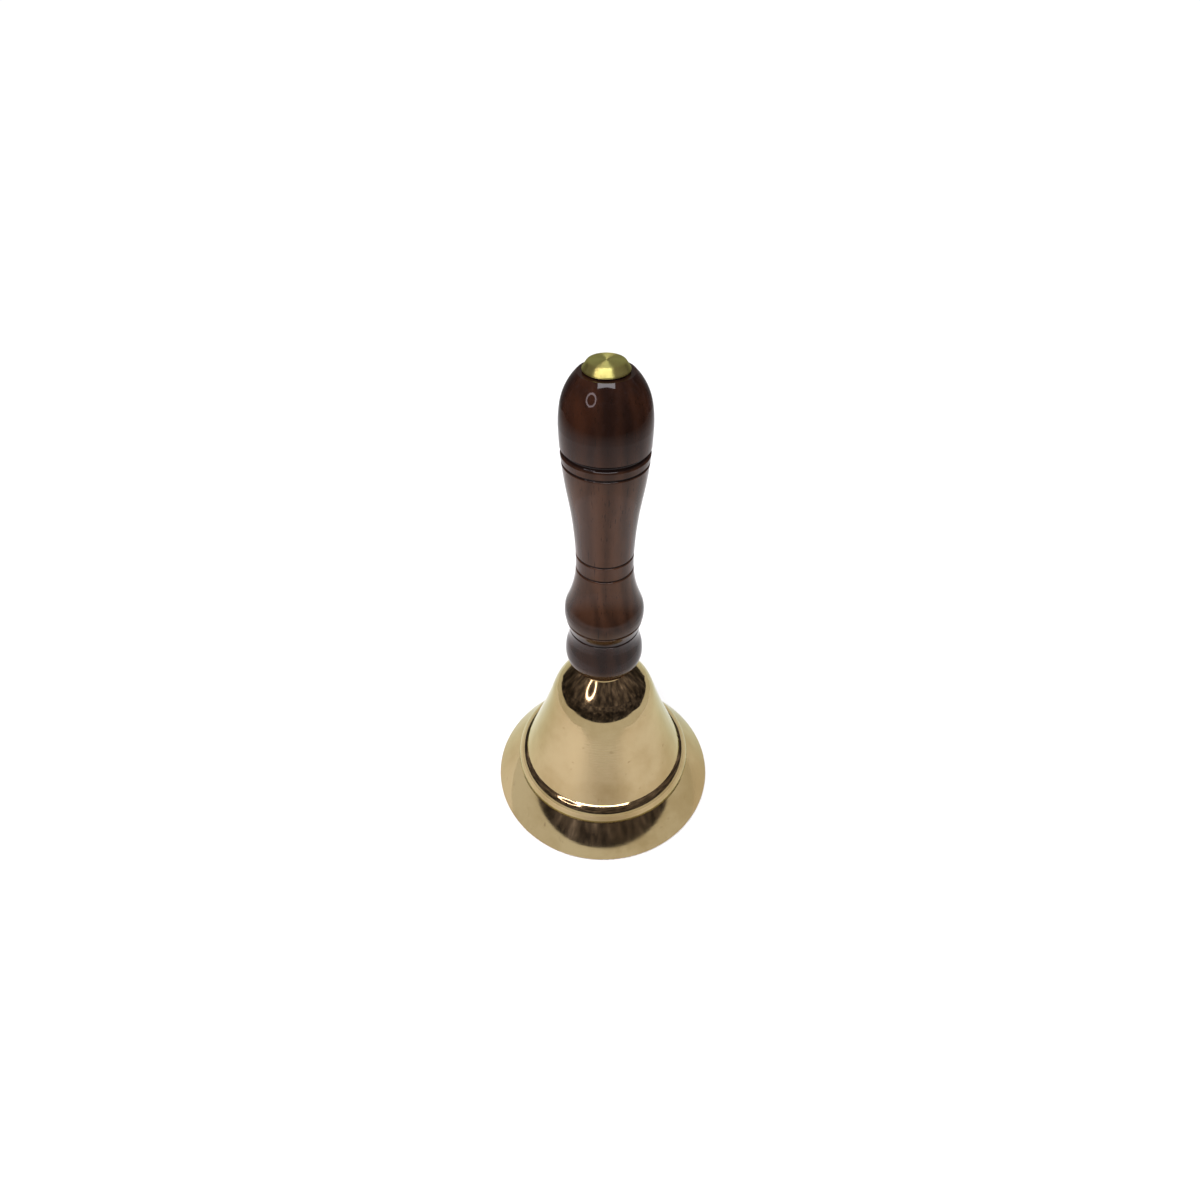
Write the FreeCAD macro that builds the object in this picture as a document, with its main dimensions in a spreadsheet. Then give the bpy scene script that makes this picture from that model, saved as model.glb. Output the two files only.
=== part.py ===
import FreeCAD, Part
import math
import os
import re
import Sketcher

# Brass hand bell with a turned wooden handle.
#
# Frame: millimetres, +Z up, the origin at the centre of the bell's mouth, on the flat
# face of the lip. Everything is turned about the Z axis except the clapper's rings,
# which hang in the X and Y planes.
#
# Order of the pieces from the top down: cap nut, cap washer, wooden handle, neck collar,
# bell shell, crown washer, crown nut. One long eye bolt runs through all of them and
# pulls them together. The link ring hangs on its eye and the clapper on the link ring.

OUT = "out"      # an arc that bulges away from the axis
IN = "in"        # an arc that is hollow towards the axis

SIZES = [
    # bell shell, outside, from the crown down to the lip
    ("crown_radius", 8.0, "flat top of the bell under the collar"),
    ("crown_height", 57.9, "top of the bell above the mouth"),
    ("crown_curve", 46.0, "radius of the nearly conical crown"),
    ("shoulder_radius", 14.0, "end of the crown, start of the rounded shoulder"),
    ("shoulder_height", 52.3, ""),
    ("turn_radius", 16.2, "where the shoulder eases into the body"),
    ("turn_height", 49.1, ""),
    ("body_radius", 17.9, "start of the long, slightly hollow body"),
    ("body_height", 44.9, ""),
    ("foot_radius", 28.5, "end of the body, above the bead"),
    ("foot_height", 16.6, ""),
    ("bead_curve", 5.4, "radius of the raised bead"),
    ("bead_radius", 31.7, "lower edge of the bead"),
    ("bead_height", 10.9, ""),
    ("line_radius", 31.35, "bottom of the fine line cut under the bead"),
    ("line_height", 10.7, ""),
    ("flare_radius", 31.75, "start of the flare"),
    ("flare_height", 10.35, ""),
    ("flare_curve", 140.0, "radius of the nearly straight flare"),
    ("lip_radius", 40.0, "largest turned radius, above the lip's rounding"),
    ("lip_height", 0.9, ""),
    ("lip_rounding", 0.9, "radius of the lip's outer rounding"),
    ("rim_outer_radius", 39.2, "outside of the flat face that the bell stands on"),
    # bell shell, inside, from the lip up to the ceiling
    ("rim_inner_radius", 37.3, "inside of the flat face"),
    ("mouth_curve", 33.0, "radius of the arc inside the lip"),
    ("throat_radius", 31.4, "inside behind the flare"),
    ("throat_height", 8.0, ""),
    ("bow_radius", 26.2, "inside behind the bead, where the clapper strikes"),
    ("bow_height", 16.0, ""),
    ("bow_curve", 25.0, "radius of the arc inside the bead"),
    ("inside_radius", 15.3, "inside of the shoulder"),
    ("inside_height", 45.0, ""),
    ("inside_curve", 600.0, "radius of the long arc inside the body"),
    ("ceiling_radius", 9.0, "edge of the flat ceiling"),
    ("ceiling_height", 54.6, "ceiling above the mouth"),
    ("ceiling_curve", 22.0, "radius of the arc between ceiling and wall"),
    ("hole_radius", 2.7, "clearance hole for the eye bolt"),
    # collar between the bell and the handle
    ("collar_radius", 8.2, "collar at its lower edge"),
    ("collar_top_radius", 8.0, "collar at its upper edge"),
    ("collar_thickness", 1.1, ""),
    ("edge_rounding", 0.12, "broken edges of collar and washers"),
    # handle; heights are above its own lower face
    ("handle_length", 101.2, "lower face to the seat of the cap"),
    ("base_radius", 8.1, "lower face"),
    ("base_edge", 0.3, "height of the broken lower edge"),
    ("bead_bottom_curve", 8.4, "underside of the lower bead"),
    ("knob_radius", 12.52, "lower bead at its thickest"),
    ("knob_height", 7.7, ""),
    ("knob_turn_height", 12.9, "where the curve turns between bead and neck"),
    ("neck_radius", 11.1, "neck between bead and vase"),
    ("neck_height", 16.3, ""),
    ("neck_turn_height", 21.1, ""),
    ("vase_radius", 12.38, "vase at its thickest"),
    ("vase_height", 25.0, ""),
    ("vase_turn_height", 28.9, ""),
    ("waist_radius", 8.5, "waist of the grip"),
    ("waist_height", 44.5, ""),
    ("waist_turn_height", 66.9, ""),
    ("grip_radius", 12.07, "grip at its thickest"),
    ("grip_height", 87.6, ""),
    ("egg_radius", 11.5, "end of the upper grip curve"),
    ("egg_height", 93.2, ""),
    ("egg_curve", 15.3, "radius of the egg-shaped top"),
    ("seat_radius", 7.2, "flat seat under the cap"),
    ("rod_bore_radius", 2.8, "bore for the eye bolt"),
    ("sleeve_bore_radius", 4.1, "wider bore for the cap nut's sleeve"),
    ("sleeve_bore_depth", 14.0, ""),
    ("wide_groove_radius", 11.95, "centre of the wide groove's round cutter"),
    ("wide_groove_height", 80.9, ""),
    ("wide_groove_cutter", 1.05, ""),
    ("fine_cutter", 0.5, "round cutter of the fine lines"),
    ("upper_line_radius", 11.68, "fine line below the wide groove"),
    ("upper_line_height", 77.65, ""),
    ("lower_line_radius", 8.62, "fine lines above the vase"),
    ("lower_line_height", 47.4, ""),
    ("lowest_line_radius", 8.62, ""),
    ("lowest_line_height", 42.3, ""),
    ("vase_line_radius", 12.15, "fine lines on the underside of the vase"),
    ("vase_line_height", 22.4, ""),
    ("neck_line_radius", 11.4, ""),
    ("neck_line_height", 18.4, ""),
    # cap washer and cap nut
    ("cap_washer_radius", 5.4, ""),
    ("cap_washer_thickness", 0.4, ""),
    ("cap_radius", 5.9, "cap at its lower edge"),
    ("cap_edge_height", 0.35, "upright lower edge"),
    ("cap_top_radius", 4.9, "cap at the top of its sloping side"),
    ("cap_side_height", 1.8, ""),
    ("cap_face_radius", 4.2, "edge of the nearly flat top"),
    ("cap_face_height", 2.15, ""),
    ("cap_rounding", 0.9, "rounding between side and top"),
    ("cap_height", 2.3, "middle of the top"),
    ("sleeve_radius", 4.0, "sleeve that reaches into the handle"),
    ("sleeve_length", 13.0, "below the underside of the skirt"),
    ("sleeve_edge", 0.5, "chamfer at the end of the sleeve"),
    ("thread_depth", 12.0, "blind thread, from the end of the sleeve"),
    # eye bolt, crown washer and crown nut
    ("rod_radius", 2.5, "M5 rod"),
    ("rod_edge", 0.5, "chamfer at the top of the rod"),
    ("rod_engagement", 9.5, "length of rod inside the cap nut"),
    ("crown_washer_radius", 6.5, ""),
    ("crown_washer_thickness", 1.0, ""),
    ("nut_flats", 8.0, "width across the flats of the M5 nut"),
    ("nut_height", 4.0, ""),
    ("nut_chamfer", 0.35, "height of the chamfered corners"),
    ("eye_gap", 0.6, "between the nut and the top of the eye"),
    ("eye_wire", 1.1, "radius of the eye's wire"),
    ("eye_ring", 3.4, "radius of the eye to the middle of its wire"),
    ("eye_neck", 1.5, "how far the rod's taper reaches into the eye"),
    # link ring and clapper
    ("ring_play", 0.3, "gap between the rings where they hang"),
    ("link_wire", 1.0, ""),
    ("link_ring", 4.0, ""),
    ("link_angle", 355.0, "the rest of the ring is the gap where it was closed"),
    ("clapper_wire", 1.2, ""),
    ("clapper_loop", 3.4, ""),
    ("loop_end_gap", 0.35, "between the end of the loop and the stem"),
    ("loop_bend", 2.4, "radius of the bend between stem and loop"),
    ("ball_radius", 6.5, ""),
    ("ball_height", 9.4, "centre of the ball above the mouth"),
    ("ball_bore_depth", 10.0, "threaded bore, from the top of the ball"),
]

SHEET = "Sizes"

doc = FreeCAD.newDocument("HandBell")
sheet = doc.addObject("Spreadsheet::Sheet", SHEET)
for row, (alias, value, note) in enumerate(SIZES, start=1):
    sheet.set(f"A{row}", note or alias.replace("_", " "))
    sheet.set(f"B{row}", str(value))
    sheet.setAlias(f"B{row}", alias)
doc.recompute()


def expression(text):
    """Turn a formula of aliases, such as 'knob_height / 2', into a sheet formula."""
    return re.sub(r"\b[a-z]+_\w+", lambda name: f"{SHEET}.{name.group()}", text)


def value_of(text):
    """The number that a formula of aliases stands for."""
    return float(sheet.evalExpression(expression(text)))


def bind(target, prop, text):
    target.setExpression(prop, expression(text))


def origin_plane(body, role):
    return next(f for f in body.Origin.OriginFeatures if f.Role == role)


def new_body(name):
    body = doc.addObject("PartDesign::Body", name)
    body.Label = name
    return body


def new_sketch(body, name, role="XZ_Plane"):
    sketch = body.newObject("Sketcher::SketchObject", name)
    sketch.AttachmentSupport = [(origin_plane(body, role), "")]
    sketch.MapMode = "FlatFace"
    return sketch


class Outline:
    """A closed outline of lines and arcs in a sketch, every size bound to the sheet.

    Points are (radius, height). The outline is drawn point by point; each call names the
    next point by its two formulas. A radius of None leaves the radius to the tangency.
    """

    def __init__(self, sketch, radius, height):
        self.sketch = sketch
        self.edges = []
        self.first = (radius, height)
        self.point = self.numbers(radius, height)
        self.start = self.point
        self.pending = (radius, height)

    def numbers(self, radius, height):
        return FreeCAD.Vector(value_of(radius), value_of(height), 0)

    def drive(self, kind, geo, pos, text):
        """Fix one coordinate of a point, as a distance from the origin."""
        if abs(value_of(text)) < 1e-9:
            axis = -2 if kind == "DistanceX" else -1
            self.sketch.addConstraint(Sketcher.Constraint("PointOnObject", geo, pos, axis))
            return
        number = self.sketch.addConstraint(
            Sketcher.Constraint(kind, -1, 1, geo, pos, value_of(text)))
        self.sketch.setExpression(f"Constraints[{number}]", expression(text))

    def add(self, geometry, forward, end, radius, height, smooth=False):
        geo = self.sketch.addGeometry(geometry, False)
        first, last = (1, 2) if forward else (2, 1)
        if self.edges:
            joint = "Tangent" if smooth else "Coincident"
            before, _, before_last = self.edges[-1]
            self.sketch.addConstraint(
                Sketcher.Constraint(joint, before, before_last, geo, first))
        if self.pending[0] is not None:
            self.drive("DistanceX", geo, first, self.pending[0])
        self.drive("DistanceY", geo, first, self.pending[1])
        self.edges.append((geo, first, last))
        self.pending = (radius, height)
        self.point = end
        return geo

    def line(self, radius, height):
        end = self.numbers(radius, height)
        self.add(Part.LineSegment(self.point, end), True, end, radius, height)
        return self

    def arc_about(self, centre, end, turn, radius, height, smooth=False):
        """Arc from the last point to end; turn is +1 anticlockwise, -1 clockwise."""
        size = (self.point - centre).Length
        angles = [math.atan2(p.y - centre.y, p.x - centre.x) for p in (self.point, end)]
        if turn < 0:
            angles.reverse()
        if angles[1] < angles[0]:
            angles[1] += 2 * math.pi
        circle = Part.Circle(centre, FreeCAD.Vector(0, 0, 1), size)
        return self.add(Part.ArcOfCircle(circle, *angles), turn > 0, end, radius, height, smooth)

    def arc(self, radius, height, curve, side, downward=True):
        """Arc of a given radius, bulging away from the axis or hollow towards it."""
        end = self.numbers(radius, height)
        size = value_of(curve)
        chord = end - self.point
        outward = FreeCAD.Vector(-chord.y, chord.x, 0) / chord.Length
        if not downward:
            outward = outward * -1
        if side == IN:
            outward = outward * -1
        middle = (self.point + end) * 0.5
        centre = middle - outward * math.sqrt(size ** 2 - (chord.Length / 2) ** 2)
        cross = (self.point - centre).cross(end - centre).z
        geo = self.arc_about(centre, end, 1 if cross > 0 else -1, radius, height)
        number = self.sketch.addConstraint(Sketcher.Constraint("Radius", geo, size))
        self.sketch.setExpression(f"Constraints[{number}]", expression(curve))
        return self

    def dome(self, radius, height):
        """Arc from the axis, with its centre on the axis."""
        end = self.numbers(radius, height)
        drop = self.point.y - end.y
        size = (end.x ** 2 + drop ** 2) / (2 * drop)
        centre = FreeCAD.Vector(0, self.point.y - size, 0)
        geo = self.arc_about(centre, end, -1, radius, height)
        self.sketch.addConstraint(Sketcher.Constraint("PointOnObject", geo, 3, -2))
        return self

    def smooth(self, radius, height):
        """Arc that leaves the last edge without a corner."""
        end = self.numbers(radius, height)
        before, _, last = self.edges[-1]
        edge = self.sketch.Geometry[before]
        along = edge.EndPoint if last == 2 else edge.StartPoint
        radial = along - edge.Center
        tangent = FreeCAD.Vector(-radial.y, radial.x, 0) / radial.Length
        tangent = tangent if last == 2 else tangent * -1
        normal = FreeCAD.Vector(-tangent.y, tangent.x, 0)
        chord = end - self.point
        offset = chord.dot(chord) / (2 * chord.dot(normal))
        turn = 1 if offset > 0 else -1
        self.arc_about(self.point + normal * offset, end, turn, radius, height, smooth=True)
        return self

    def swell(self, turn_height, radius, height):
        """S-curve between two stations where the outline runs parallel to the axis."""
        start = self.point
        end = self.numbers(radius, height)
        share = (value_of(turn_height) - start.y) / (end.y - start.y)
        middle = start + (end - start) * share
        for station, target, text in ((start, middle, (None, turn_height)),
                                      (end, end, (radius, height))):
            other = middle if station is start else self.point
            reach = (other - station).dot(other - station) / (2 * (other.x - station.x))
            centre = FreeCAD.Vector(station.x + reach, station.y, 0)
            cross = (self.point - centre).cross(target - centre).z
            level = self.pending[1] if station is start else height
            geo = self.arc_about(centre, target, 1 if cross > 0 else -1, *text,
                                 smooth=station is end)
            self.drive("DistanceY", geo, 3, level)
        return self

    def close(self):
        """Straight last edge back to the first point."""
        self.line(*self.first)
        last, _, last_end = self.edges[-1]
        start, start_pos, _ = self.edges[0]
        self.sketch.addConstraint(
            Sketcher.Constraint("Coincident", last, last_end, start, start_pos))


def revolve(body, sketch, kind="PartDesign::Revolution", name="Turned"):
    feature = body.newObject(kind, name)
    feature.Profile = sketch
    feature.ReferenceAxis = (sketch, ["V_Axis"])
    feature.Angle = 360.0
    sketch.Visibility = False
    doc.recompute()
    return feature


def make_flat_ring(name, bore, radius, top_radius, thickness, base):
    """Flat ring with its outer edges broken at 45 degrees."""
    body = new_body(name)
    outline = Outline(new_sketch(body, name + "_outline"), bore, "0")
    outline.line(f"{radius} - edge_rounding", "0")
    outline.line(radius, "edge_rounding")
    outline.line(top_radius, f"{thickness} - edge_rounding")
    outline.line(f"{top_radius} - edge_rounding", thickness)
    outline.line(bore, thickness)
    outline.close()
    revolve(body, outline.sketch)
    bind(body, "Placement.Base.z", base)
    return body


def make_bell_shell():
    body = new_body("bell_shell")
    outline = Outline(new_sketch(body, "bell_outline"), "hole_radius", "crown_height")
    outline.line("crown_radius", "crown_height")
    outline.arc("shoulder_radius", "shoulder_height", "crown_curve", OUT)
    outline.smooth("turn_radius", "turn_height")
    outline.smooth("body_radius", "body_height")
    outline.smooth("foot_radius", "foot_height")
    outline.arc("bead_radius", "bead_height", "bead_curve", OUT)
    outline.line("line_radius", "line_height")
    outline.line("flare_radius", "flare_height")
    outline.arc("lip_radius", "lip_height", "flare_curve", OUT)
    outline.arc("rim_outer_radius", "0", "lip_rounding", OUT)
    outline.line("rim_inner_radius", "0")
    outline.arc("throat_radius", "throat_height", "mouth_curve", OUT, downward=False)
    outline.arc("bow_radius", "bow_height", "bow_curve", IN, downward=False)
    outline.arc("inside_radius", "inside_height", "inside_curve", IN, downward=False)
    outline.arc("ceiling_radius", "ceiling_height", "ceiling_curve", OUT, downward=False)
    outline.line("hole_radius", "ceiling_height")
    outline.close()
    revolve(body, outline.sketch)
    return body


def make_handle():
    body = new_body("wooden_handle")
    outline = Outline(new_sketch(body, "handle_outline"), "sleeve_bore_radius", "handle_length")
    outline.line("seat_radius", "handle_length")
    outline.arc("egg_radius", "egg_height", "egg_curve", OUT)
    outline.smooth("grip_radius", "grip_height")
    outline.swell("waist_turn_height", "waist_radius", "waist_height")
    outline.swell("vase_turn_height", "vase_radius", "vase_height")
    outline.swell("neck_turn_height", "neck_radius", "neck_height")
    outline.swell("knob_turn_height", "knob_radius", "knob_height")
    outline.arc("base_radius", "base_edge", "bead_bottom_curve", OUT)
    outline.line("base_radius - base_edge", "0")
    outline.line("rod_bore_radius", "0")
    outline.line("rod_bore_radius", "handle_length - sleeve_bore_depth")
    outline.line("sleeve_bore_radius", "handle_length - sleeve_bore_depth")
    outline.close()
    revolve(body, outline.sketch)

    cutters = new_sketch(body, "groove_cutters")
    for name, cutter in (("wide_groove", "wide_groove_cutter"), ("upper_line", "fine_cutter"),
                         ("lower_line", "fine_cutter"), ("lowest_line", "fine_cutter"),
                         ("vase_line", "fine_cutter"), ("neck_line", "fine_cutter")):
        place = (f"{name}_radius", f"{name}_height")
        centre = FreeCAD.Vector(value_of(place[0]), value_of(place[1]), 0)
        circle = Part.Circle(centre, FreeCAD.Vector(0, 0, 1), value_of(cutter))
        geo = cutters.addGeometry(circle, False)
        for kind, args, text in (("DistanceX", (-1, 1, geo, 3), place[0]),
                                 ("DistanceY", (-1, 1, geo, 3), place[1]),
                                 ("Radius", (geo,), cutter)):
            number = cutters.addConstraint(Sketcher.Constraint(kind, *args, value_of(text)))
            cutters.setExpression(f"Constraints[{number}]", expression(text))
    uncut = body.Shape.Volume
    revolve(body, cutters, "PartDesign::Groove", "Lines")
    if body.Shape.Volume >= uncut:
        raise RuntimeError("the turned lines cut nothing from the handle")
    bind(body, "Placement.Base.z", "crown_height + collar_thickness")
    return body


CAP_BASE = "crown_height + collar_thickness + handle_length + cap_washer_thickness"


def make_cap_nut():
    body = new_body("cap_nut")
    outline = Outline(new_sketch(body, "cap_outline"), "0", "cap_height")
    outline.dome("cap_face_radius", "cap_face_height")
    outline.arc("cap_top_radius", "cap_side_height", "cap_rounding", OUT)
    outline.line("cap_radius", "cap_edge_height")
    outline.line("cap_radius", "0")
    outline.line("sleeve_radius", "0")
    outline.line("sleeve_radius", "sleeve_edge - sleeve_length")
    outline.line("sleeve_radius - sleeve_edge", "-sleeve_length")
    outline.line("rod_radius", "-sleeve_length")
    outline.line("rod_radius", "thread_depth - sleeve_length")
    outline.line("0", "thread_depth - sleeve_length + 0.9")
    outline.close()
    revolve(body, outline.sketch)
    bind(body, "Placement.Base.z", CAP_BASE)
    return body


def make_crown_nut():
    body = new_body("crown_nut")
    sketch = new_sketch(body, "nut_outline", "XY_Plane")
    corner = value_of("nut_flats / sqrt(3)")
    corners = [FreeCAD.Vector(corner * math.cos(math.radians(60 * k)),
                              corner * math.sin(math.radians(60 * k)), 0) for k in range(6)]
    for k in range(6):
        sketch.addGeometry(Part.LineSegment(corners[k], corners[(k + 1) % 6]), False)
    for k in range(6):
        sketch.addConstraint(Sketcher.Constraint("Coincident", k, 2, (k + 1) % 6, 1))
    origin = FreeCAD.Vector(0, 0, 0)
    outer = sketch.addGeometry(Part.Circle(origin, FreeCAD.Vector(0, 0, 1), corner), True)
    bore = sketch.addGeometry(Part.Circle(origin, FreeCAD.Vector(0, 0, 1),
                                          value_of("rod_radius")), False)
    for circle in (outer, bore):
        sketch.addConstraint(Sketcher.Constraint("Coincident", circle, 3, -1, 1))
    for k in range(6):
        sketch.addConstraint(Sketcher.Constraint("PointOnObject", k, 1, outer))
        if k:
            sketch.addConstraint(Sketcher.Constraint("Equal", 0, k))
    sketch.addConstraint(Sketcher.Constraint("PointOnObject", 0, 1, -1))
    for circle, text in ((outer, "nut_flats / sqrt(3)"), (bore, "rod_radius")):
        number = sketch.addConstraint(Sketcher.Constraint("Radius", circle, value_of(text)))
        sketch.setExpression(f"Constraints[{number}]", expression(text))
    pad = body.newObject("PartDesign::Pad", "Blank")
    pad.Profile = sketch
    bind(pad, "Length", "nut_height")
    sketch.Visibility = False
    doc.recompute()

    square = body.Shape.Volume
    for name, level, face in (("Lower", "0", "nut_chamfer"),
                              ("Upper", "nut_height", "nut_height - nut_chamfer")):
        outline = Outline(new_sketch(body, f"{name}_chamfer"), "nut_flats / 2", level)
        outline.line("nut_flats / sqrt(3) + 0.2", level)
        outline.line("nut_flats / sqrt(3) + 0.2", face)
        outline.close()
        revolve(body, outline.sketch, "PartDesign::Groove", f"{name}Corners")
    if body.Shape.Volume >= square:
        raise RuntimeError("the chamfers cut nothing from the nut")
    bind(body, "Placement.Base.z", "ceiling_height - crown_washer_thickness - nut_height")
    return body


EYE_TOP = "ceiling_height - crown_washer_thickness - nut_height - eye_gap"
EYE_CENTRE = f"{EYE_TOP} - eye_wire - eye_ring"
LINK_PIVOT = f"{EYE_CENTRE} - eye_ring"
LINK_CENTRE = f"{LINK_PIVOT} + eye_wire + ring_play + link_wire - link_ring"
CLAPPER_PIVOT = f"{LINK_CENTRE} - link_ring"
LOOP_CENTRE = f"{CLAPPER_PIVOT} + link_wire + ring_play + clapper_wire - clapper_loop"


def primitive(kind, name, base=None, **sizes):
    """A Part primitive whose sizes, and height above the mouth, follow the sheet."""
    solid = doc.addObject(kind, name)
    for prop, text in sizes.items():
        bind(solid, prop, text)
    if base is not None:
        bind(solid, "Placement.Base.z", base)
    solid.Visibility = False
    return solid


def make_eye_bolt():
    rod_top = f"{CAP_BASE} - sleeve_length + rod_engagement"
    neck = primitive("Part::Cone", "eye_bolt_neck", f"{EYE_TOP} - eye_neck",
                     Radius1="eye_wire + eye_gap / 2", Radius2="rod_radius",
                     Height="eye_neck + eye_gap / 2")
    rod = primitive("Part::Cylinder", "eye_bolt_rod", f"{EYE_TOP} + eye_gap / 2",
                    Radius="rod_radius",
                    Height=f"{rod_top} - rod_edge - ({EYE_TOP} + eye_gap / 2)")
    tip = primitive("Part::Cone", "eye_bolt_tip", f"{rod_top} - rod_edge", Radius1="rod_radius",
                    Radius2="rod_radius - rod_edge", Height="rod_edge")
    eye = primitive("Part::Torus", "eye_bolt_eye", EYE_CENTRE, Radius1="eye_ring",
                    Radius2="eye_wire")
    eye.Placement.Rotation = FreeCAD.Rotation(FreeCAD.Vector(1, 0, 0), 90)
    bolt = doc.addObject("Part::MultiFuse", "eye_bolt")
    bolt.Label = "eye_bolt"
    bolt.Shapes = [neck, rod, tip, eye]
    bolt.Refine = True
    return bolt


def make_link_ring():
    """Wire ring in the Y-Z plane; its closing gap faces sideways, along +Y."""
    link = primitive("Part::Torus", "link_ring", LINK_CENTRE, Radius1="link_ring",
                     Radius2="link_wire", Angle3="link_angle")
    link.Label = "link_ring"
    turn_to_plane = FreeCAD.Rotation(FreeCAD.Vector(0, 1, 0), 90)
    turn_gap = FreeCAD.Rotation(FreeCAD.Vector(0, 0, 1), 92.5)
    link.Placement.Rotation = turn_to_plane.multiply(turn_gap)
    return link


def make_clapper_stem():
    """One bent wire: a straight stem, a short bend and a loop about the stem's own axis."""
    body = new_body("clapper_stem")
    path = new_sketch(body, "stem_path")
    loop, bend, wire = value_of("clapper_loop"), value_of("loop_bend"), value_of("clapper_wire")
    centre = FreeCAD.Vector(0, value_of(LOOP_CENTRE), 0)
    drop = math.sqrt((loop + bend) ** 2 - bend ** 2)
    bend_centre = FreeCAD.Vector(bend, centre.y - drop, 0)
    foot = FreeCAD.Vector(0, value_of("ball_height + ball_radius - ball_bore_depth"), 0)
    bend_start = FreeCAD.Vector(0, bend_centre.y, 0)
    meeting = math.atan2(bend_centre.y - centre.y, bend_centre.x - centre.x)
    stem_side = wire * 2 + value_of("loop_end_gap")
    loop_end = 1.5 * math.pi - math.asin(stem_side / loop)
    up = FreeCAD.Vector(0, 0, 1)
    path.addGeometry(Part.LineSegment(foot, bend_start), False)
    path.addGeometry(Part.ArcOfCircle(Part.Circle(bend_centre, up, bend),
                                      meeting + math.pi, math.pi), False)
    path.addGeometry(Part.ArcOfCircle(Part.Circle(centre, up, loop), meeting, loop_end), False)
    path.addConstraint(Sketcher.Constraint("Vertical", 0))
    path.addConstraint(Sketcher.Constraint("PointOnObject", 0, 1, -2))
    path.addConstraint(Sketcher.Constraint("Tangent", 0, 2, 1, 2))
    path.addConstraint(Sketcher.Constraint("Tangent", 1, 1, 2, 1))
    path.addConstraint(Sketcher.Constraint("PointOnObject", 2, 3, -2))
    for kind, args, text in (
            ("DistanceY", (-1, 1, 0, 1), "ball_height + ball_radius - ball_bore_depth"),
            ("DistanceY", (-1, 1, 2, 3), LOOP_CENTRE),
            ("Radius", (1,), "loop_bend"),
            ("Radius", (2,), "clapper_loop"),
            ("DistanceX", (2, 2, -1, 1), "clapper_wire * 2 + loop_end_gap")):
        number = path.addConstraint(Sketcher.Constraint(kind, *args, value_of(text)))
        path.setExpression(f"Constraints[{number}]", expression(text))
    doc.recompute()

    section = new_sketch(body, "stem_section", "XY_Plane")
    bind(section, "AttachmentOffset.Base.z", "ball_height + ball_radius - ball_bore_depth")
    section.addGeometry(Part.Circle(FreeCAD.Vector(0, 0, 0), up, wire), False)
    section.addConstraint(Sketcher.Constraint("Coincident", 0, 3, -1, 1))
    number = section.addConstraint(Sketcher.Constraint("Radius", 0, wire))
    section.setExpression(f"Constraints[{number}]", expression("clapper_wire"))
    pipe = body.newObject("PartDesign::AdditivePipe", "BentWire")
    pipe.Profile = section
    pipe.Spine = (path, ["Edge1", "Edge2", "Edge3"])
    path.Visibility = False
    section.Visibility = False
    doc.recompute()
    return body


def make_clapper_ball():
    ball = primitive("Part::Sphere", "ball_blank", "ball_height", Radius="ball_radius")
    bore = primitive("Part::Cylinder", "ball_bore", "ball_height + ball_radius - ball_bore_depth",
                     Radius="clapper_wire", Height="ball_bore_depth + 1")
    cut = doc.addObject("Part::Cut", "clapper_ball")
    cut.Label = "clapper_ball"
    cut.Base = ball
    cut.Tool = bore
    return cut


pieces = [
    make_bell_shell(),
    make_flat_ring("neck_collar", "hole_radius", "collar_radius", "collar_top_radius",
                   "collar_thickness", "crown_height"),
    make_handle(),
    make_flat_ring("cap_washer", "sleeve_bore_radius", "cap_washer_radius",
                   "cap_washer_radius", "cap_washer_thickness",
                   "crown_height + collar_thickness + handle_length"),
    make_cap_nut(),
    make_eye_bolt(),
    make_flat_ring("crown_washer", "hole_radius", "crown_washer_radius",
                   "crown_washer_radius", "crown_washer_thickness",
                   "ceiling_height - crown_washer_thickness"),
    make_crown_nut(),
    make_link_ring(),
    make_clapper_stem(),
    make_clapper_ball(),
]
doc.recompute()

for item in doc.Objects:
    if {"Invalid", "Error"} & set(item.State):
        raise RuntimeError(f"{item.Name} failed: {item.State}")
for piece in pieces:
    shape = piece.Shape
    if shape.isNull() or not shape.isValid() or len(shape.Solids) != 1:
        raise RuntimeError(f"{piece.Label} is not one valid solid")

os.makedirs("parts", exist_ok=True)
for piece in pieces:
    piece.Shape.exportStep(f"parts/{piece.Label}.step")
    box = piece.Shape.optimalBoundingBox(True, False)
    print(f"{piece.Label:14s} volume {piece.Shape.Volume:10.2f}  "
          f"z {box.ZMin:7.2f} to {box.ZMax:7.2f}  x to {box.XMax:6.2f}")
for name, text in (("link pivot", LINK_PIVOT), ("clapper pivot", CLAPPER_PIVOT)):
    print(f"{name} height {value_of(text):.3f}")
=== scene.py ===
import math

import bpy
from mathutils import Matrix, Vector

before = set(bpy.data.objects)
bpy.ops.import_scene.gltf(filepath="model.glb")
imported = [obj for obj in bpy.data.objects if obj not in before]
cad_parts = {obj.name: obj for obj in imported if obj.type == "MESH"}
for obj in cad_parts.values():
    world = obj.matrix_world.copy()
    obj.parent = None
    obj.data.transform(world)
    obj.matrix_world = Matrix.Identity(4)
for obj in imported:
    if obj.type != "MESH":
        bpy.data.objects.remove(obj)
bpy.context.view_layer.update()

# Metres and degrees, in the part's own frame: +Z up, the mouth's centre at the origin.
CAMERA_PLACE = Vector((0.0, -0.15525, 0.22753))
CAMERA_PITCH = 42.13
CAMERA_YAW = 0.19
CAMERA_ROLL = 0.38
CAMERA_SHIFT = -0.0023
LENS = 20.37

RING_LAMP_PLACE = Vector((-0.210, -0.217, 0.328))
RING_LAMP_RADIUS = 0.072
RING_LAMP_TUBE = 0.010
RING_LAMP_AIM = Vector((0, 0, -0.12))
RING_LAMP_COLOUR = (1.0, 0.86, 0.92)
RING_LAMP_GLOW = 11.0

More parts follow.
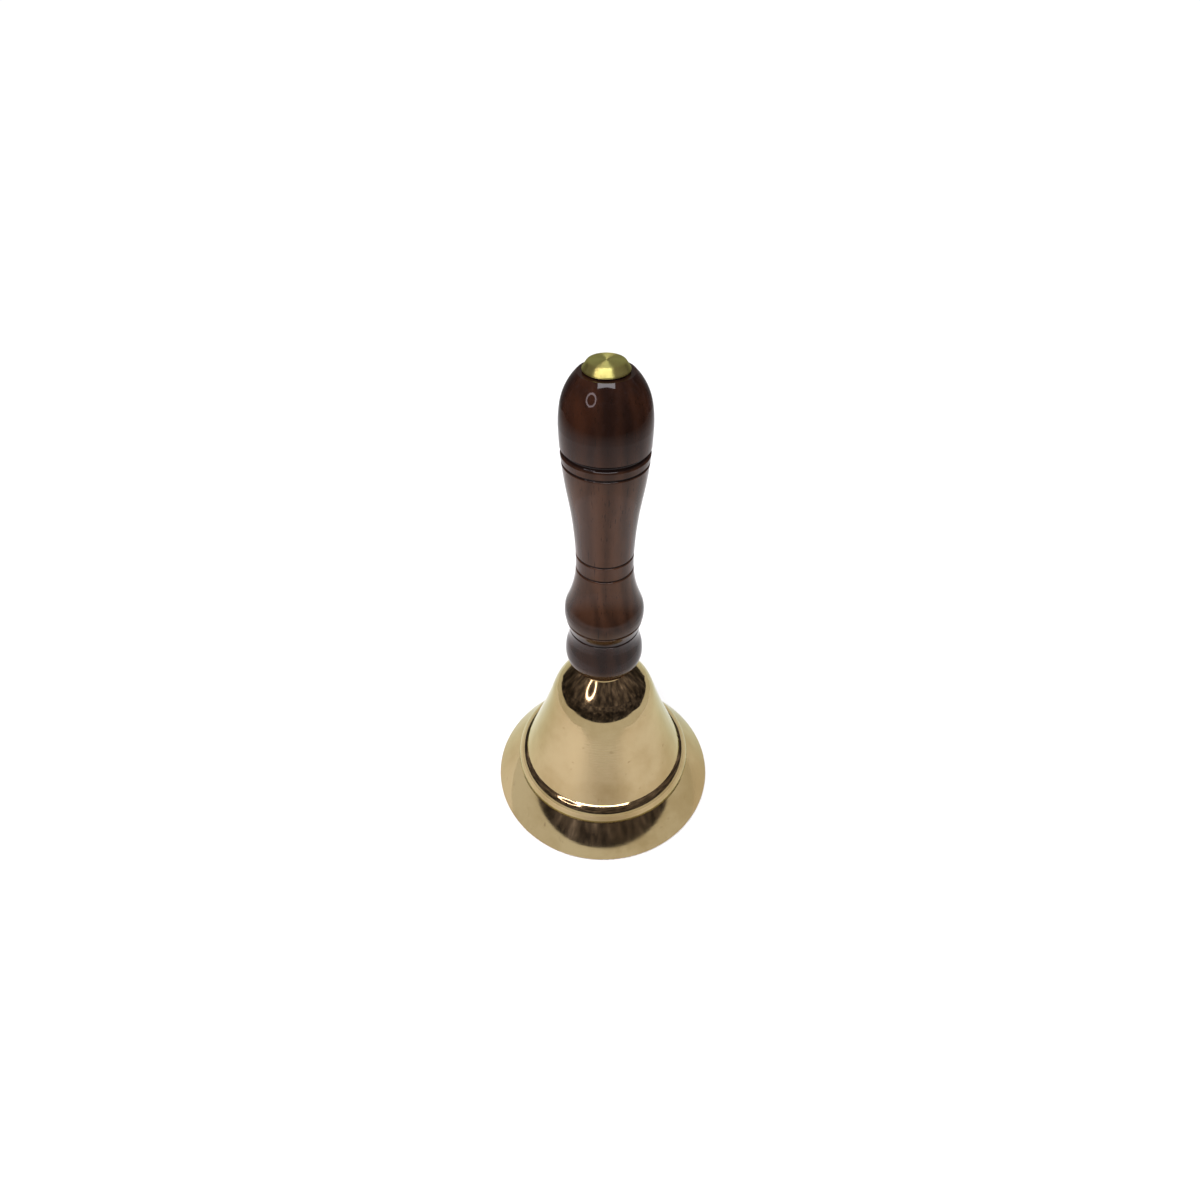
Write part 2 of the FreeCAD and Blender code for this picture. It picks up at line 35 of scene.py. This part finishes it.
# The softbox faces a point this high on the axis. From there its lower and upper edges are
# these angles above the horizon, and its ends this angle to each side.
SOFTBOX_CENTRE = 0.157
SOFTBOX_DISTANCE = 1.1
SOFTBOX_HEIGHTS = (59.0, 70.0)
SOFTBOX_HALF_ANGLE = 42.0
SOFTBOX_BRIGHTNESS = 44.0
SOFTBOX_COLOUR = (0.97, 0.95, 1.0)

# A low ring that glows white, painted light seen only in reflections.
CARD_RADIUS = 0.140
CARD_HEIGHT = 0.0375
CARD_GLOW = 1.12

FLOOR_RADIUS = 0.50
FLOOR_GAP = 0.0002
MOUTH_OPENING = 0.0375
FLOOR_WHITE = (0.95, 0.95, 0.95, 1)
FLOOR_SHADE = (0.05, 0.04, 0.03, 1)
# Painted shade on the floor, seen only in reflections: in front, fading over these angles
# (radians), and towards its edge, growing over these distances.
FRONT_SHADE = 0.33
FRONT_SHADE_ANGLES = (0.05, 0.75)
EDGE_SHADE = 0.85
EDGE_SHADE_DISTANCES = (0.16, 0.50)

# The room as reflections show it: dim in front and at the sides, lighter towards the
# ceiling, pale at the back, and white below the floor.
DIM_ROOM = ((0.30, (0.008, 0.007, 0.008)), (0.45, (0.040, 0.034, 0.038)),
            (0.58, (0.12, 0.102, 0.112)), (0.72, (0.32, 0.285, 0.33)))
LIGHTER_ABOVE = (0.15, 0.60, 0.8, 2.2)
PALE_ROOM_LOW = (0.28, 0.27, 0.26, 1)
PALE_ROOM_HIGH = (0.16, 0.155, 0.15, 1)
PALE_ROOM_ANGLES = (math.radians(125), math.radians(170))
WHITE_BELOW = (-0.45, -0.35)
ROOM_BELOW = (0.85, 0.84, 0.82, 1)
LIT_WHITE = (0.84, 0.84, 0.84, 1)
BACKDROP_WHITE = (1.0, 1.0, 1.0, 1)
ROOM_BRIGHTNESS = 1.05

# Heights above the mouth between which the handle's paler grip, paler foot of the vase and
# painted reflection under the bottom bead come and go.
GRIP_BELOW = (0.078, 0.100)
GRIP_ABOVE = (0.150, 0.128)
VASE_FOOT_BELOW = (0.0785, 0.0800)
VASE_FOOT_ABOVE = (0.0860, 0.0820)
BEAD_FOOT = (0.0680, 0.0645)
# Height of each turned line of the handle above the mouth, and half its width.
GROOVES = ((0.1400, 0.0012), (0.13665, 0.0005), (0.1064, 0.0004), (0.1013, 0.0004),
           (0.0814, 0.0003), (0.0774, 0.0004))

WOOD_DARK = ((0.0, (0.0100, 0.0044, 0.0030)), (1.0, (0.0170, 0.0070, 0.0042)))
WOOD_WORN = ((0.0, (0.035, 0.0165, 0.0095)), (1.0, (0.054, 0.0245, 0.0135)))
WOOD_FEET_PALE_AND_REFLECTION = (0.036, 0.0165, 0.0060, 1)
WOOD_RED = (0.040, 0.0135, 0.0060, 1)
WOOD_PORE = (0.005, 0.003, 0.002, 1)
WOOD_GROOVE_VARNISH_AND_SHADE = (0.004, 0.002, 0.0018, 1)
TARNISH = (0.20, 0.12, 0.05, 1)
BRASS_EDGE = (0.86, 0.90, 0.74, 1)


# ---------------------------------------------------------------- node helpers

class Nodes:
    """A short way to write a node tree."""

    def __init__(self, owner):
        owner.use_nodes = True
        self.tree = owner.node_tree
        self.tree.nodes.clear()

    def add(self, kind, **settings):
        node = self.tree.nodes.new(kind)
        for name, value in settings.items():
            setattr(node, name, value)
        return node

    def feed(self, value, socket):
        """Join an output to a socket, or set the socket to a plain value."""
        if isinstance(value, bpy.types.NodeSocket):
            self.tree.links.new(value, socket)
        else:
            socket.default_value = value

    def math(self, operation, *values):
        node = self.add("ShaderNodeMath", operation=operation)
        for value, socket in zip(values, node.inputs):
            self.feed(value, socket)
        return node.outputs[0]

    def mix(self, factor, low, high, blend="MIX"):
        node = self.add("ShaderNodeMix", data_type="RGBA", blend_type=blend)
        self.feed(factor, node.inputs[0])
        self.feed(low, node.inputs[6])
        self.feed(high, node.inputs[7])
        return node.outputs[2]

    def ramp(self, factor, *stops):
        """Colour ramp of (position, colour) stops."""
        node = self.add("ShaderNodeValToRGB")
        elements = node.color_ramp.elements
        while len(elements) < len(stops):
            elements.new(0.5)
        for element, (position, colour) in zip(elements, stops):
            element.position = position
            element.color = (*colour, 1.0)
        self.feed(factor, node.inputs[0])
        return node.outputs[0]

    def band(self, value, low, high, out_low=0.0, out_high=1.0):
        """Map value smoothly from low..high to out_low..out_high."""
        node = self.add("ShaderNodeMapRange", interpolation_type="SMOOTHSTEP")
        for item, socket in zip((value, low, high, out_low, out_high), node.inputs):
            self.feed(item, socket)
        return node.outputs[0]

    def place(self, scale=(1, 1, 1), move=(0, 0, 0), turn=(0, 0, 0)):
        """Object coordinates, which are the part's own frame, scaled, moved and turned."""
        coordinates = self.add("ShaderNodeTexCoord").outputs["Object"]
        mapping = self.add("ShaderNodeMapping")
        self.feed(coordinates, mapping.inputs["Vector"])
        mapping.inputs["Scale"].default_value = scale
        mapping.inputs["Location"].default_value = move
        mapping.inputs["Rotation"].default_value = turn
        return mapping.outputs[0]

    def noise(self, vector, scale, detail=4.0, roughness=0.5):
        node = self.add("ShaderNodeTexNoise")
        self.feed(vector, node.inputs["Vector"])
        node.inputs["Scale"].default_value = scale
        node.inputs["Detail"].default_value = detail
        node.inputs["Roughness"].default_value = roughness
        return node.outputs["Fac"]

    def bump(self, height, depth):
        """Bump of a height from 0 to 1, depth metres deep."""
        node = self.add("ShaderNodeBump")
        node.inputs["Strength"].default_value = 1.0
        node.inputs["Distance"].default_value = depth
        self.feed(height, node.inputs["Height"])
        return node.outputs[0]

    def gray(self, value):
        """A colour with the same value in each channel."""
        node = self.add("ShaderNodeCombineColor")
        for socket in node.inputs:
            self.feed(value, socket)
        return node.outputs[0]

    def principled(self, **inputs):
        node = self.add("ShaderNodeBsdfPrincipled")
        for name, value in inputs.items():
            self.feed(value, node.inputs[name.replace("_", " ")])
        return node

    def surface(self, shader, kind="ShaderNodeOutputMaterial"):
        self.feed(shader.outputs[0], self.add(kind).inputs["Surface"])


def new_material(name):
    material = bpy.data.materials.new(name)
    return material, Nodes(material)


def height_above_mouth(nodes):
    separate = nodes.add("ShaderNodeSeparateXYZ")
    nodes.feed(nodes.place(), separate.inputs[0])
    return separate.outputs["Z"]


# ---------------------------------------------------------------- materials

def brass(name, colour, deep, roughness, line_depth, tarnish, spun=0.0):
    """Turned brass: fine lines round the axis, cloudy wear and a little tarnish. Spun is how
    much the lathe's lines stretch the highlights."""
    material, nodes = new_material(name)
    lines = nodes.noise(nodes.place(scale=(1, 1, 60)), 60.0, detail=3.0)
    clouds = nodes.noise(nodes.place(), 38.0, detail=5.0, roughness=0.6)
    specks = nodes.noise(nodes.place(move=(0.3, 0.1, 0.2)), 420.0, detail=2.0)
    tint = nodes.mix(nodes.band(clouds, 0.35, 0.7), colour, deep)
    spotted = nodes.mix(nodes.band(specks, 0.68, 0.78, 0.0, tarnish), tint, TARNISH)
    gloss = nodes.math("ADD", nodes.band(clouds, 0.3, 0.75, roughness * 0.75, roughness * 1.35),
                       nodes.band(specks, 0.66, 0.8, 0.0, 0.12))
    shader = nodes.principled(Base_Color=spotted, Metallic=1.0, Roughness=gloss,
                              Specular_Tint=BRASS_EDGE, Normal=nodes.bump(lines, line_depth))
    if spun:
        tangent = nodes.add("ShaderNodeTangent", direction_type="RADIAL", axis="Z")
        nodes.feed(tangent.outputs[0], shader.inputs["Tangent"])
        shader.inputs["Anisotropic"].default_value = spun
        shader.inputs["Anisotropic Rotation"].default_value = 0.25
    nodes.surface(shader)
    return material


def varnished_wood():
    """Dark turned hardwood: soft figure cut through by the turning, pores, a worn and paler
    grip, paler and redder feet with a painted reflection of the brass under the bottom bead,
    dark lines in the grooves that are partly painted shade, and a gloss varnish."""
    material, nodes = new_material("dark_wood")
    pith = nodes.place(scale=(1, 1, 0.30), move=(0.012, 0.030, 0.0), turn=(0.35, 0.25, 0))
    drift = nodes.noise(pith, 60.0, detail=3.0)
    rings = nodes.add("ShaderNodeTexWave", wave_type="RINGS", rings_direction="Z",
                      wave_profile="SIN")
    nodes.feed(pith, rings.inputs["Vector"])
    rings.inputs["Scale"].default_value = 70.0
    rings.inputs["Distortion"].default_value = 6.0
    rings.inputs["Detail"].default_value = 3.0
    rings.inputs["Detail Scale"].default_value = 1.6
    pores = nodes.noise(nodes.place(scale=(1, 1, 0.035)), 1900.0, detail=2.0, roughness=0.7)
    dark = nodes.ramp(rings.outputs["Fac"], *WOOD_DARK)
    worn = nodes.ramp(rings.outputs["Fac"], *WOOD_WORN)
    height = height_above_mouth(nodes)
    grip = nodes.math("MULTIPLY", nodes.band(height, *GRIP_BELOW),
                      nodes.band(height, *GRIP_ABOVE))
    # Paler, redder wood at the vase's foot and under the bottom bead; under the bead it is a
    # painted reflection of the brass below.
    vase_foot = nodes.math("MULTIPLY", nodes.band(height, *VASE_FOOT_BELOW),
                           nodes.band(height, *VASE_FOOT_ABOVE))
    bead_foot = nodes.band(height, *BEAD_FOOT)
    feet_pale_and_reflected = nodes.math("MULTIPLY", nodes.math("MAXIMUM", vase_foot, bead_foot), 0.9)
    figure = nodes.mix(feet_pale_and_reflected, nodes.mix(grip, dark, worn), WOOD_FEET_PALE_AND_REFLECTION)
    glowing = nodes.math("MULTIPLY", nodes.band(drift, 0.48, 0.72), 0.6)
    warmed = nodes.mix(glowing, figure, WOOD_RED)
    pored = nodes.mix(nodes.band(pores, 0.60, 0.72, 0.0, 0.6), warmed, WOOD_PORE)

    # Dark lines in the turned grooves: partly dark varnish in the grooves, partly painted
    # shade.
    lines = 0.0
    for level, half_width in GROOVES:
        distance = nodes.math("ABSOLUTE", nodes.math("SUBTRACT", height, level))
        inside = nodes.band(distance, half_width, half_width * 0.55)
        lines = nodes.math("MAXIMUM", lines, inside)
    grooves_varnished_and_shaded = nodes.mix(nodes.math("MULTIPLY", lines, 0.85), pored, WOOD_GROOVE_VARNISH_AND_SHADE)
    relief = nodes.math("ADD", nodes.math("MULTIPLY", rings.outputs["Fac"], 0.6), pores)
    nodes.surface(nodes.principled(Base_Color=grooves_varnished_and_shaded, Roughness=0.5, Specular_IOR_Level=0.0,
                                   Coat_Weight=0.85, Coat_Roughness=0.055, Coat_IOR=1.29,
                                   Normal=nodes.bump(relief, 0.00001)))
    return material


def plated_steel():
    """Zinc-plated steel wire, screw and nut: pale grey, slightly brushed, with dull patches."""
    material, nodes = new_material("plated_steel")
    brushed = nodes.noise(nodes.place(scale=(1, 1, 8)), 500.0, detail=3.0)
    dull = nodes.noise(nodes.place(), 130.0, detail=4.0)
    tint = nodes.mix(nodes.band(dull, 0.35, 0.7), (0.60, 0.59, 0.55, 1), (0.44, 0.43, 0.40, 1))
    nodes.surface(nodes.principled(Base_Color=tint, Metallic=1.0,
                                   Roughness=nodes.band(dull, 0.3, 0.7, 0.20, 0.38),
                                   Normal=nodes.bump(brushed, 0.00001)))
    return material


def black_fibre():
    """Pressed fibre of the washer under the cap."""
    material, nodes = new_material("black_fibre")
    fibres = nodes.noise(nodes.place(scale=(1, 1, 3)), 900.0, detail=4.0)
    tint = nodes.mix(nodes.band(fibres, 0.35, 0.7), (0.012, 0.010, 0.009, 1),
                     (0.04, 0.033, 0.028, 1))
    nodes.surface(nodes.principled(Base_Color=tint, Roughness=0.8,
                                   Normal=nodes.bump(fibres, 0.00003)))
    return material


def white_card():
    """White card. Reflections show painted soft shade in front, as if someone stood there, and
    towards the edge. It is see-through from below, and open under the mouth, so that the
    underside can be seen."""
    material, nodes = new_material("white_card")
    separate = nodes.add("ShaderNodeSeparateXYZ")
    nodes.feed(nodes.place(), separate.inputs[0])
    aside, forward, _ = separate.outputs
    azimuth = nodes.math("ARCTAN2", aside, nodes.math("MULTIPLY", forward, -1.0))
    distance = nodes.math("SQRT", nodes.math("ADD", nodes.math("MULTIPLY", aside, aside),
                                             nodes.math("MULTIPLY", forward, forward)))
    # Painted shade, seen only in reflections: darker in front and towards the edge.
    shade = nodes.math("MAXIMUM",
                       nodes.band(nodes.math("ABSOLUTE", azimuth), *FRONT_SHADE_ANGLES,
                                  FRONT_SHADE, 0.0),
                       nodes.band(distance, *EDGE_SHADE_DISTANCES, 0.0, EDGE_SHADE))
    mirrored = nodes.add("ShaderNodeLightPath").outputs["Is Glossy Ray"]
    tint = nodes.mix(nodes.math("MULTIPLY", shade, mirrored), FLOOR_WHITE, FLOOR_SHADE)
    card = nodes.principled(Base_Color=tint, Roughness=0.9)
    through = nodes.add("ShaderNodeMixShader")
    from_below = nodes.add("ShaderNodeNewGeometry").outputs["Backfacing"]
    under_mouth = nodes.math("LESS_THAN", distance, MOUTH_OPENING)
    nodes.feed(nodes.math("MAXIMUM", from_below, under_mouth), through.inputs[0])
    nodes.feed(card.outputs[0], through.inputs[1])
    nodes.feed(nodes.add("ShaderNodeBsdfTransparent").outputs[0], through.inputs[2])
    nodes.surface(through)
    return material


def glow(name, colour, strength, first_mirror_only=False):
    """Plain light. It can be kept out of reflections of reflections."""
    material, nodes = new_material(name)
    emission = nodes.add("ShaderNodeEmission")
    emission.inputs["Color"].default_value = (*colour, 1)
    if first_mirror_only:
        depth = nodes.add("ShaderNodeLightPath").outputs["Ray Depth"]
        strength = nodes.math("MULTIPLY", nodes.math("LESS_THAN", depth, 1.5), strength)
    nodes.feed(strength, emission.inputs["Strength"])
    nodes.surface(emission)
    return material


def paint(material, *names):
    for name in names:
        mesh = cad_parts[name].data
        mesh.materials.clear()
        mesh.materials.append(material)


bell_brass = brass("bell_brass", colour=(0.41, 0.32, 0.175, 1), deep=(0.31, 0.225, 0.105, 1),
                   roughness=0.075, line_depth=0.000003, tarnish=0.35)
cap_brass = brass("trim_brass", colour=(0.82, 0.79, 0.27, 1), deep=(0.70, 0.64, 0.19, 1),
                  roughness=0.38, line_depth=0.000001, tarnish=0.25, spun=0.95)
ball_brass = brass("ball_brass", colour=(0.50, 0.38, 0.18, 1), deep=(0.38, 0.28, 0.12, 1),
                   roughness=0.30, line_depth=0.00001, tarnish=0.6)
paint(bell_brass, "bell_shell", "neck_collar")
paint(cap_brass, "cap_nut")
paint(ball_brass, "clapper_ball")
paint(varnished_wood(), "wooden_handle")
paint(plated_steel(), "eye_bolt", "crown_washer", "crown_nut", "link_ring", "clapper_stem")
paint(black_fibre(), "cap_washer")


# ---------------------------------------------------------------- floor, room and lights

def make_floor():
    bpy.ops.mesh.primitive_circle_add(vertices=128, radius=FLOOR_RADIUS, fill_type="NGON")
    floor = bpy.context.object
    floor.name = "floor"
    floor.location.z = -FLOOR_GAP
    floor.data.materials.append(white_card())


def make_card_ring():
    """A low ring round the bell that glows white in place of lit card: painted light which only
    the reflections show.
    """
    bpy.ops.mesh.primitive_cylinder_add(vertices=128, radius=CARD_RADIUS, depth=CARD_HEIGHT,
                                        end_fill_type="NOTHING",
                                        location=(0, 0, CARD_HEIGHT / 2))
    card = bpy.context.object
    card.name = "front_card"
    card.data.materials.append(glow("glowing_card_white", (1.0, 1.0, 1.0), CARD_GLOW,
                                    first_mirror_only=True))
    card.visible_camera = False
    card.visible_diffuse = False
    card.visible_shadow = False


def make_ring_lamp():
    bpy.ops.mesh.primitive_torus_add(major_radius=RING_LAMP_RADIUS, minor_radius=RING_LAMP_TUBE,
                                     major_segments=96, minor_segments=24)
    lamp = bpy.context.object
    lamp.name = "ring_lamp"
    towards = RING_LAMP_AIM - RING_LAMP_PLACE
    lamp.matrix_world = (Matrix.Translation(RING_LAMP_PLACE)
                         @ towards.to_track_quat("Z", "Y").to_matrix().to_4x4())
    lamp.data.materials.append(glow("ring_glow", RING_LAMP_COLOUR, RING_LAMP_GLOW))
    lamp.visible_camera = False
    lamp.visible_shadow = False


def make_softbox():
    """A long soft light, high in front, facing the top of the handle."""
    low, high = (math.radians(angle) for angle in SOFTBOX_HEIGHTS)
    middle = (low + high) / 2
    away = Vector((0, -math.cos(middle), math.sin(middle))) * SOFTBOX_DISTANCE
    light = bpy.data.lights.new("softbox", "AREA")
    light.shape = "RECTANGLE"
    light.size = 2 * abs(away.y) * math.tan(math.radians(SOFTBOX_HALF_ANGLE))
    light.size_y = 2 * SOFTBOX_DISTANCE * math.tan((high - low) / 2)
    light.energy = SOFTBOX_BRIGHTNESS * light.size * light.size_y
    light.color = SOFTBOX_COLOUR
    softbox = bpy.data.objects.new("softbox", light)
    softbox.location = Vector((0, 0, SOFTBOX_CENTRE)) + away
    softbox.rotation_euler = away.to_track_quat("Z", "Y").to_euler()
    softbox.visible_camera = False
    bpy.context.collection.objects.link(softbox)


def make_room():
    """Even white light for matt surfaces and behind the object. Reflections show a room that
    is dim in front and at the sides, pale at the back and white below the floor."""
    world = bpy.data.worlds.new("room")
    bpy.context.scene.world = world
    nodes = Nodes(world)
    direction = nodes.add("ShaderNodeTexCoord").outputs["Generated"]
    separate = nodes.add("ShaderNodeSeparateXYZ")
    nodes.feed(direction, separate.inputs[0])
    aside, forward, up = separate.outputs

    detail = nodes.noise(direction, 7.0, detail=6.0, roughness=0.65)
    dim = nodes.ramp(detail, *DIM_ROOM)
    lighter_above = nodes.band(up, *LIGHTER_ABOVE)
    dim = nodes.mix(1.0, dim, nodes.gray(lighter_above), blend="MULTIPLY")
    pale = nodes.mix(nodes.band(up, 0.0, 0.9), PALE_ROOM_LOW, PALE_ROOM_HIGH)
    azimuth = nodes.math("ARCTAN2", aside, nodes.math("MULTIPLY", forward, -1.0))
    turned = nodes.math("ABSOLUTE", azimuth)
    around = nodes.mix(nodes.band(turned, *PALE_ROOM_ANGLES), dim, pale)
    mirrored = nodes.mix(nodes.band(up, *WHITE_BELOW), ROOM_BELOW, around)

    path = nodes.add("ShaderNodeLightPath")
    lit = nodes.mix(path.outputs["Is Camera Ray"], LIT_WHITE, BACKDROP_WHITE)
    seen = nodes.mix(path.outputs["Is Glossy Ray"], lit, mirrored)
    background = nodes.add("ShaderNodeBackground")
    nodes.feed(seen, background.inputs["Color"])
    background.inputs["Strength"].default_value = ROOM_BRIGHTNESS
    nodes.surface(background, "ShaderNodeOutputWorld")


def make_camera():
    data = bpy.data.cameras.new("camera")
    data.lens = LENS
    data.shift_x = CAMERA_SHIFT
    data.clip_start = 0.01
    camera = bpy.data.objects.new("camera", data)
    camera.matrix_world = (Matrix.Translation(CAMERA_PLACE)
                           @ Matrix.Rotation(math.radians(CAMERA_YAW), 4, "Z")
                           @ Matrix.Rotation(math.radians(90 - CAMERA_PITCH), 4, "X")
                           @ Matrix.Rotation(math.radians(CAMERA_ROLL), 4, "Z"))
    bpy.context.collection.objects.link(camera)
    bpy.context.scene.camera = camera


make_floor()
make_card_ring()
make_ring_lamp()
make_softbox()
make_room()
make_camera()
bpy.context.scene.view_settings.view_transform = "Standard"
